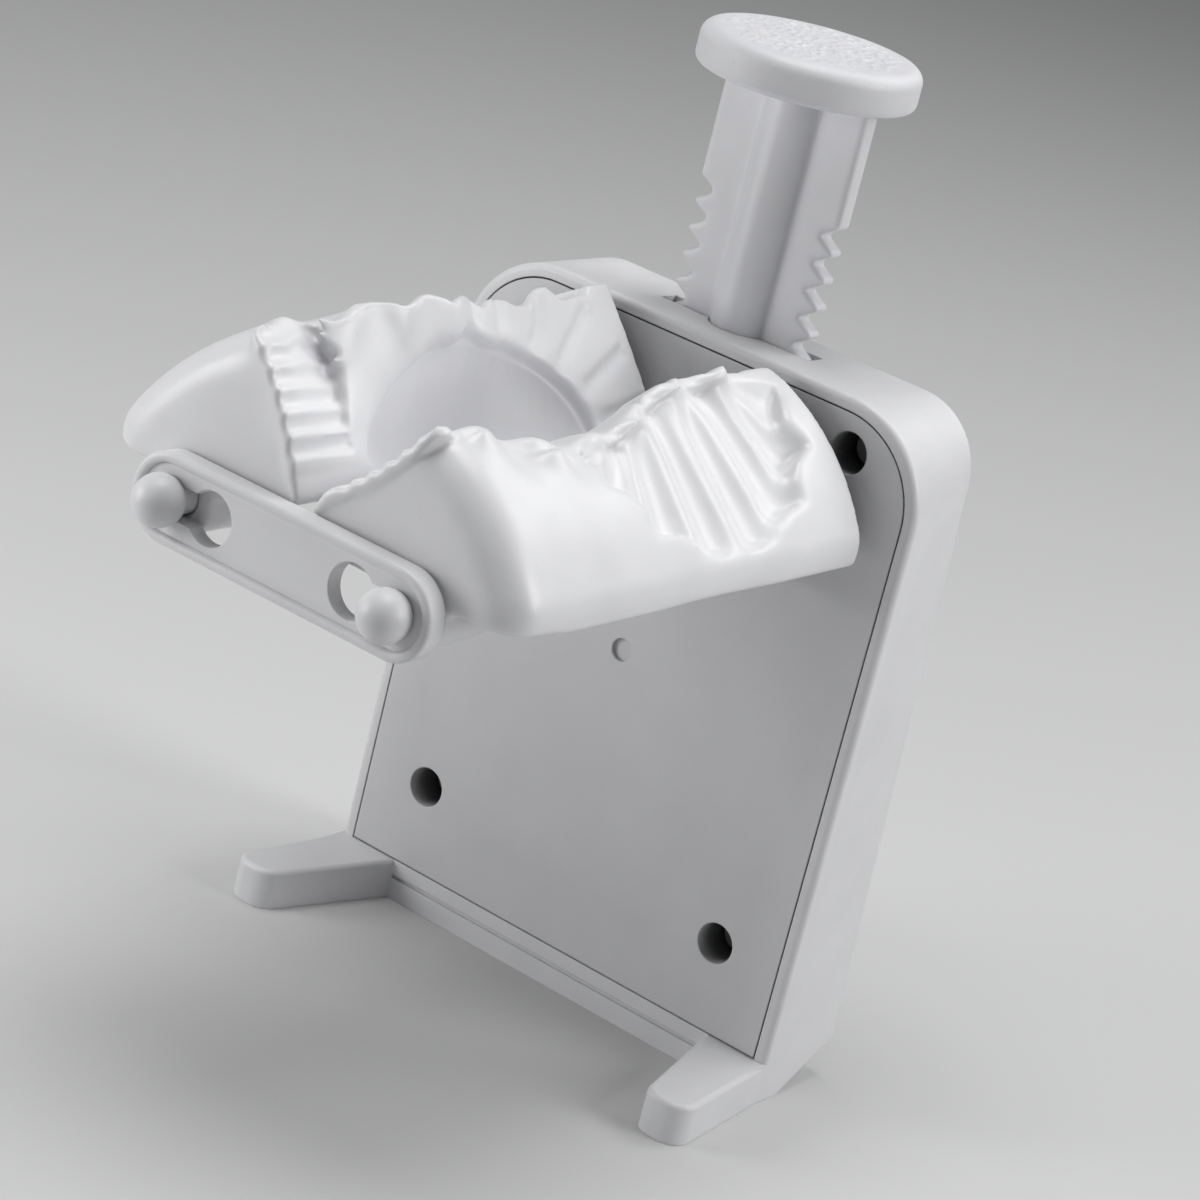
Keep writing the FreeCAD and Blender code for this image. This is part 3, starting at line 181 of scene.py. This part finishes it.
# How each material slot is made: maker, colour and what differs from the usual
FINISHES = {
    "housing_plastic": (moulded_plastic, HOUSING_GREY, {}),
    # The cover gets painted shade in its recesses, darkening its screw wells
    "cover_plastic": (moulded_plastic, COVER_GREY, {"roughness": 0.46, "recess": 9 * MM}),
    "plunger_plastic": (moulded_plastic, PLUNGER_GREY, {}),
    "cap_plastic": (moulded_plastic, PLUNGER_GREY, {"roughness": 0.5}),
    "mould_plastic": (moulded_plastic, MOULD_WHITE, {"roughness": 0.34, "bump": 0.015 * MM, "edge": 0.3 * MM}),
    "pin_plastic": (moulded_plastic, HOUSING_GREY, {}),
    "link_plastic": (moulded_plastic, HOUSING_GREY, {}),
    "gear_plastic": (moulded_plastic, NATURAL, {}),
    "guide_plastic": (moulded_plastic, NATURAL, {}),
    "screw_steel": (drawn_steel, STEEL, {"roughness": 0.45}),
    "shaft_steel": (drawn_steel, STEEL, {"stretch": (1, 0.1, 1)}),
    "spring_steel": (drawn_steel, STEEL, {}),
}
materials = {slot: make(slot, colour, **settings) for slot, (make, colour, settings) in FINISHES.items()}


def dress(mesh, node):
    """Gives a mesh the finish of a node."""
    mesh.materials.clear()
    mesh.materials.append(materials[slot_of[node]])


def stand_in(mesh, node):
    """A piece that takes the place of a solid, with its body and finish."""
    piece = bpy.data.objects.new(mesh.name, mesh)
    bpy.context.scene.collection.objects.link(piece)
    dress(mesh, node)
    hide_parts(node)
    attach(piece, body_of[node])
    return piece


for node in slot_of:
    dress(nodes[node].data, node)


# Dense skins over the solids

WELD = 0.001 * MM
DRAW = 0.5
EASING_ROUNDS = 50


def welded_copy(node):
    """A copy of a node's mesh with its split corners joined."""
    mesh = nodes[node].data.copy()
    work = bmesh.new()
    work.from_mesh(mesh)
    bmesh.ops.remove_doubles(work, verts=work.verts, dist=WELD)
    work.to_mesh(mesh)
    work.free()
    return mesh


def smooth_shaded(mesh):
    mesh.polygons.foreach_set("use_smooth", [True] * len(mesh.polygons))
    return mesh


def skin(name, node, voxel, rounds):
    """A dense mesh over a node, smoothed all over for some rounds."""
    piece = bpy.data.objects.new(name, welded_copy(node))
    bpy.context.scene.collection.objects.link(piece)
    remesh = piece.modifiers.new("skin", "REMESH")
    remesh.mode = "VOXEL"
    remesh.voxel_size = voxel
    smooth = piece.modifiers.new("soft", "SMOOTH")
    smooth.factor = DRAW
    smooth.iterations = rounds
    bpy.context.view_layer.update()
    mesh = bpy.data.meshes.new_from_object(piece.evaluated_get(bpy.context.evaluated_depsgraph_get()))
    bpy.data.objects.remove(piece)
    mesh.name = name
    return smooth_shaded(mesh)


def points_of(mesh):
    flat = np.empty(len(mesh.vertices) * 3)
    mesh.vertices.foreach_get("co", flat)
    return flat.reshape(-1, 3)


def move_points(mesh, points):
    mesh.vertices.foreach_set("co", points.ravel())
    mesh.update()


def step_between(low, high, numbers):
    """A smooth step from 0 at the low number to 1 at the high one."""
    share = np.clip((numbers - low) / (high - low), 0, 1)
    return share * share * (3 - 2 * share)


def eased(mesh, points, share):
    """Points drawn towards the mean of their neighbours by a share, round after round."""
    ends = np.empty(len(mesh.edges) * 2, dtype=np.int32)
    mesh.edges.foreach_get("vertices", ends)
    first, second = ends[0::2], ends[1::2]
    count = len(points)
    neighbours = np.bincount(ends, minlength=count)[:, None]
    for _ in range(EASING_ROUNDS):
        sums = [np.bincount(first, points[second, axis], count) + np.bincount(second, points[first, axis], count)
                for axis in range(3)]
        points = points + DRAW * share[:, None] * (np.stack(sums, axis=1) / neighbours - points)
    return points


# Moulds: soft skins, shaped in the section of the closed mould

MOULD_VOXEL, MOULD_ROUNDS = 0.5 * MM, 10
FACE_GAP = 0.15 * MM
RIM_HEIGHT = 20.6 * MM
CRESCENT, CRESCENT_HALF, CRESCENT_MIDDLE = 9 * MM, 38 * MM, -81.4 * MM
BOWL_MIDDLE, BOWL_HALF = -64.4 * MM, 31 * MM
BOWL_FLOOR, BOWL_RISE, BOWL_DEPTH = -6.8 * MM, 20.5 * MM, 15 * MM
BOWL_EASE, BOWL_BAND, BOWL_START = 0.4, 0.1, 2 * MM
BOWL_SKIN, FLOOR_SKIN = (1.08, 1.25), (-1.5 * MM, -0.5 * MM)
FAN_MIDDLE, FAN_HALF, FAN_REACH = -52.4 * MM, 29 * MM, 33 * MM
FAN_BAND, FAN_EDGE = 0.13, (4 * MM, 8 * MM)
FACE_EDGE = (1.5 * MM, 5 * MM)
RIM_EDGE, RIM_SHARE = (9 * MM, 18 * MM), 0.25
LUMP_PITCH, LUMP_PLACE, LUMP_HEIGHT, LUMP_REACH = 14 * MM, -105.4 * MM, 1.7 * MM, 5.5 * MM
LUMP_ENDS = (-112 * MM, -104 * MM, -36 * MM, -28 * MM)
FRONT_ENDS, FRONT_DEPTH = (-114 * MM, -108 * MM, -94 * MM, -88 * MM), 10 * MM
FRONT_RISE, FRONT_SHARE = (0, 9 * MM), 0.5
NOSE_ENDS = (-107 * MM, -98 * MM)
BULGE, BULGE_HEIGHT, BULGE_SPAN = 2.4 * MM, 11 * MM, 16 * MM
BULGE_ENDS, BULGE_DEPTH = (-113 * MM, -97 * MM), (2 * MM, 7 * MM)


def bow(y, height):
    """How far the parting face is bowed to the right, two arcs each way along it and growing upwards."""
    turn = 2 * math.atan(CRESCENT / CRESCENT_HALF)
    radius = CRESCENT_HALF / 2 / math.sin(turn)
    off = np.abs(y - CRESCENT_MIDDLE)
    rest = np.clip(CRESCENT_HALF - off, 0, CRESCENT_HALF / 2)
    inner = CRESCENT - radius + np.sqrt(radius ** 2 - np.minimum(off, CRESCENT_HALF / 2) ** 2)
    outer = radius - np.sqrt(radius ** 2 - rest ** 2)
    return np.where(off < CRESCENT_HALF / 2, inner, outer) * np.clip(height, 0, None) / RIM_HEIGHT


def closed_place(points, hinge, side):
    """Points in the closed mould's section: towards the other half, up, behind the flat and behind the bowed face."""
    pivot_x, _, pivot_z = hinge["pos_m"]
    turn = math.radians(hinge["range_deg"][1])
    out, rise = -side * (points[:, 0] - pivot_x), points[:, 2] - pivot_z
    across = out * math.cos(turn) + rise * math.sin(turn)
    height = rise * math.cos(turn) - out * math.sin(turn)
    depth = abs(pivot_x) - FACE_GAP - across
    return across, height, depth, depth - side * bow(points[:, 1], height)


def open_place(across, height, y, hinge, side):
    """Points of the closed mould's section, back in the open mould."""
    pivot_x, _, pivot_z = hinge["pos_m"]
    turn = math.radians(hinge["range_deg"][1])
    out = across * math.cos(turn) - height * math.sin(turn)
    rise = across * math.sin(turn) + height * math.cos(turn)
    return np.stack([pivot_x - side * out, y, pivot_z + rise], axis=1)


def stretch_of(ends, y):
    """A stretch along the mould that fades in and out."""
    first, full, fading, last = ends
    return step_between(first, full, y) * (1 - step_between(fading, last, y))


def easing(y, height, behind):
    """Where the skin is softened most: nose, edges of the fan and the bowl, top of the rim, front of the flange."""
    above, near = height > 0, 1 - step_between(*FACE_EDGE, behind)
    nose = (1 - step_between(*NOSE_ENDS, y)) * step_between(*FACE_EDGE, behind) * above
    fan_off = np.sqrt(((y - FAN_MIDDLE) / FAN_HALF) ** 2 + (behind / FAN_REACH) ** 2)
    fan = np.exp(-((fan_off - 1) / FAN_BAND) ** 2) * step_between(*FAN_EDGE, behind) * above
    bowl_off = np.sqrt(((y - BOWL_MIDDLE) / BOWL_HALF) ** 2 + ((height - BOWL_FLOOR) / BOWL_RISE) ** 2)
    bowl = np.exp(-((bowl_off - 1) / BOWL_BAND) ** 2) * near * (height > BOWL_FLOOR + BOWL_START)
    rim = RIM_SHARE * step_between(*RIM_EDGE, height) * near
    front = FRONT_SHARE * step_between(*FRONT_RISE, height) * stretch_of(FRONT_ENDS, y) * (behind < FRONT_DEPTH)
    return np.maximum.reduce([nose, fan, bowl, rim, front])


def bowl_fill(y, height, behind):
    """How far the bowl's skin comes forward, so that the bowl is shallow and its edge soft."""
    off = ((y - BOWL_MIDDLE) / BOWL_HALF) ** 2 + ((height - BOWL_FLOOR) / BOWL_RISE) ** 2 + (behind / BOWL_DEPTH) ** 2
    inside = (1 - step_between(*BOWL_SKIN, off)) * step_between(*FLOOR_SKIN, height - BOWL_FLOOR)
    return BOWL_EASE * inside * step_between(*FACE_EDGE, behind) * np.clip(behind, 0, None)


def rim_lumps(y, height, behind):
    """How far soft lumps along the rim lift it."""
    share = np.exp(-(behind / LUMP_REACH) ** 2) * step_between(*RIM_EDGE, height) * stretch_of(LUMP_ENDS, y)
    return LUMP_HEIGHT * share * np.cos(2 * math.pi * (y - LUMP_PLACE) / LUMP_PITCH)


def front_bulge(y, height, depth):
    """How far the front of the parting face is bowed to the right."""
    along = 1 - step_between(*BULGE_ENDS, y)
    swell = np.clip(1 - ((height - BULGE_HEIGHT) / BULGE_SPAN) ** 2, 0, 1)
    return BULGE * (1 - step_between(*BULGE_DEPTH, depth)) * along * swell


def mould(side_name, side):
    """One half mould; what bows its face to the right swells the left half and hollows the right one."""
    node = f"{side_name}_mould"
    hinge = hinge_of[body_of[node]]
    mesh = skin(f"{side_name}_mould_skin", node, MOULD_VOXEL, MOULD_ROUNDS)
    points = points_of(mesh)
    _, height, _, behind = closed_place(points, hinge, side)
    points = eased(mesh, points, easing(points[:, 1], height, behind))
    across, height, depth, behind = closed_place(points, hinge, side)
    y = points[:, 1]
    across = across + bowl_fill(y, height, behind)
    height = height + rim_lumps(y, height, behind)
    across = across - side * front_bulge(y, height, depth)
    move_points(mesh, open_place(across, height, y, hinge, side))
    stand_in(mesh, node)


mould("left", -1)
mould("right", 1)


# Rod: its racks with rounded teeth

ROD_VOXEL, ROD_EASE = 0.35 * MM, 0.18
TEETH_FREE = (122 * MM, 130 * MM)


def rod():
    """The rod; the teeth that never reach the pinions have rounded tips."""
    mesh = skin("toothed_rod", "plunger_rod", ROD_VOXEL, 0)
    points = points_of(mesh)
    move_points(mesh, eased(mesh, points, ROD_EASE * step_between(*TEETH_FREE, points[:, 2])))
    stand_in(mesh, "plunger_rod")


rod()


# Cap: a turned knob with a stippled top

CAP_SEGMENTS = 320
CAP_BORE = 6 * MM
TOP_ROUND, TOP_STEPS = 2.6 * MM, 8
FOOT_ROUND, FOOT_STEPS = 1.6 * MM, 6
STIPPLE_RINGS = 90
STIPPLE_SIZE, STIPPLE_HEIGHT, STIPPLE_FADE = 1.3 * MM, 0.45 * MM, 2 * MM
FINE_SHARE, FINE_WEIGHT = 2.3, 0.5


def quarter(centre_radius, centre_height, radius, start, steps):
    """Points of a quarter circle in the cap's section."""
    angles = [start + math.pi / 2 * step / steps for step in range(steps + 1)]
    return [(centre_radius + radius * math.cos(angle), centre_height + radius * math.sin(angle)) for angle in angles]


def stipple(place, inset):
    """Height of the stipple on the cap's flat top, which fades in from its edge."""
    coarse = max(0, field.noise(place / STIPPLE_SIZE))
    fine = max(0, field.noise(place * FINE_SHARE / STIPPLE_SIZE))
    return STIPPLE_HEIGHT * min(1, coarse + FINE_WEIGHT * fine) * max(0, min(1, inset / STIPPLE_FADE))


def cap():
    """The cap, turned from its section: under the rod, round its foot, up its edge and over its flat top."""
    low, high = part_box("press_cap")
    middle = (low + high) / 2
    outer = (high.x - low.x) / 2
    top = high.z - STIPPLE_HEIGHT
    flat = outer - TOP_ROUND
    edge = [(CAP_BORE, low.z)]
    edge += quarter(outer - FOOT_ROUND, low.z + FOOT_ROUND, FOOT_ROUND, -math.pi / 2, FOOT_STEPS)
    edge += quarter(flat, top - TOP_ROUND, TOP_ROUND, 0, TOP_STEPS)
    over = [(flat * (1 - ring / STIPPLE_RINGS), top) for ring in range(1, STIPPLE_RINGS)]
    turns = [2 * math.pi * step / CAP_SEGMENTS for step in range(CAP_SEGMENTS)]
    work = bmesh.new()
    rings = []
    for number, (radius, height) in enumerate(edge + over):
        places = [Vector((middle.x + radius * math.cos(turn), middle.y + radius * math.sin(turn), height))
                  for turn in turns]
        if number >= len(edge):
            for place in places:
                place.z += stipple(place, flat - radius)
        rings.append([work.verts.new(place) for place in places])
    centre = work.verts.new((middle.x, middle.y, top))
    under = work.verts.new((middle.x, middle.y, low.z))
    for step in range(CAP_SEGMENTS):
        other = (step + 1) % CAP_SEGMENTS
        for first, second in zip(rings, rings[1:]):
            work.faces.new((first[step], first[other], second[other], second[step]))
        work.faces.new((rings[-1][step], rings[-1][other], centre))
        work.faces.new((rings[0][other], rings[0][step], under))
    bmesh.ops.recalc_face_normals(work, faces=work.faces)
    mesh = bpy.data.meshes.new("stippled_cap")
    work.to_mesh(mesh)
    work.free()
    stand_in(smooth_shaded(mesh), "press_cap")


cap()


# Spring: a stand-in with a mesh of its own

def spring():
    mesh = nodes["return_spring"].data.copy()
    mesh.name = "coiled_spring"
    piece = stand_in(mesh, "return_spring")
    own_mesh(piece)


spring()


# Floor, light and camera

FLOOR_SIZE, FLOOR_ROUGHNESS, FLOOR_GREY = 6, 0.9, (0.58, 0.58, 0.58, 1)
SKY_COLOUR, SKY_STRENGTH = (0.95, 0.97, 1.0, 1), 0.14
PRESS_MIDDLE, LOW_COVER = (0, -0.03, 0.09), (-0.05, 0, 0.03)

# Lamps: name, place, target, size in metres and power in watts
LAMPS = [
    ("top", (-0.10, -0.06, 1.15), PRESS_MIDDLE, 0.7, 7.0),
    ("back", (0.35, 0.65, 0.9), PRESS_MIDDLE, 0.6, 3.2),
    ("side", (1.0, 0.30, 0.55), PRESS_MIDDLE, 0.6, 5.6),
    ("front", (-0.34, -0.36, 0.16), LOW_COVER, 0.25, 1.0),
]

# The photograph's view, from a fit to the housing's edges
SENSOR_WIDTH, LENS, CLIP_START = 36, 117.4, 0.05
VIEW_PLACE = (0.3652, -0.5872, 0.3163)
VIEW_AXES = ((0.7697, 0.5951, 0.2310), (-0.3796, 0.1357, 0.9152), (0.5133, -0.7921, 0.3303))


def floor():
    bpy.ops.mesh.primitive_plane_add(size=FLOOR_SIZE, location=(0, 0, 0))
    plane = bpy.context.object
    plane.name = "floor"
    paper = Finish("floor_paper")
    paper.main.inputs["Base Color"].default_value = FLOOR_GREY
    paper.main.inputs["Roughness"].default_value = FLOOR_ROUGHNESS
    plane.data.materials.append(paper.material)


def lamp(name, place, target, size, power):
    data = bpy.data.lights.new(name, "AREA")
    data.shape = "DISK"
    data.size = size
    data.energy = power
    lamp_object = bpy.data.objects.new(name, data)
    lamp_object.location = place
    lamp_object.rotation_euler = (Vector(target) - Vector(place)).to_track_quat("-Z", "Y").to_euler()
    bpy.context.scene.collection.objects.link(lamp_object)


def sky():
    world = bpy.data.worlds.new("studio")
    bpy.context.scene.world = world
    world.use_nodes = True
    background = world.node_tree.nodes["Background"]
    background.inputs["Color"].default_value = SKY_COLOUR
    background.inputs["Strength"].default_value = SKY_STRENGTH


def camera():
    data = bpy.data.cameras.new("camera")
    data.sensor_width = SENSOR_WIDTH
    data.lens = LENS
    data.clip_start = CLIP_START
    view = bpy.data.objects.new("camera", data)
    view.matrix_world = Matrix.Translation(Vector(VIEW_PLACE)) @ Matrix(VIEW_AXES).transposed().to_4x4()
    bpy.context.scene.collection.objects.link(view)
    bpy.context.scene.camera = view


floor()
for row in LAMPS:
    lamp(*row)
sky()
camera()
bpy.context.scene.view_settings.view_transform = "Standard"
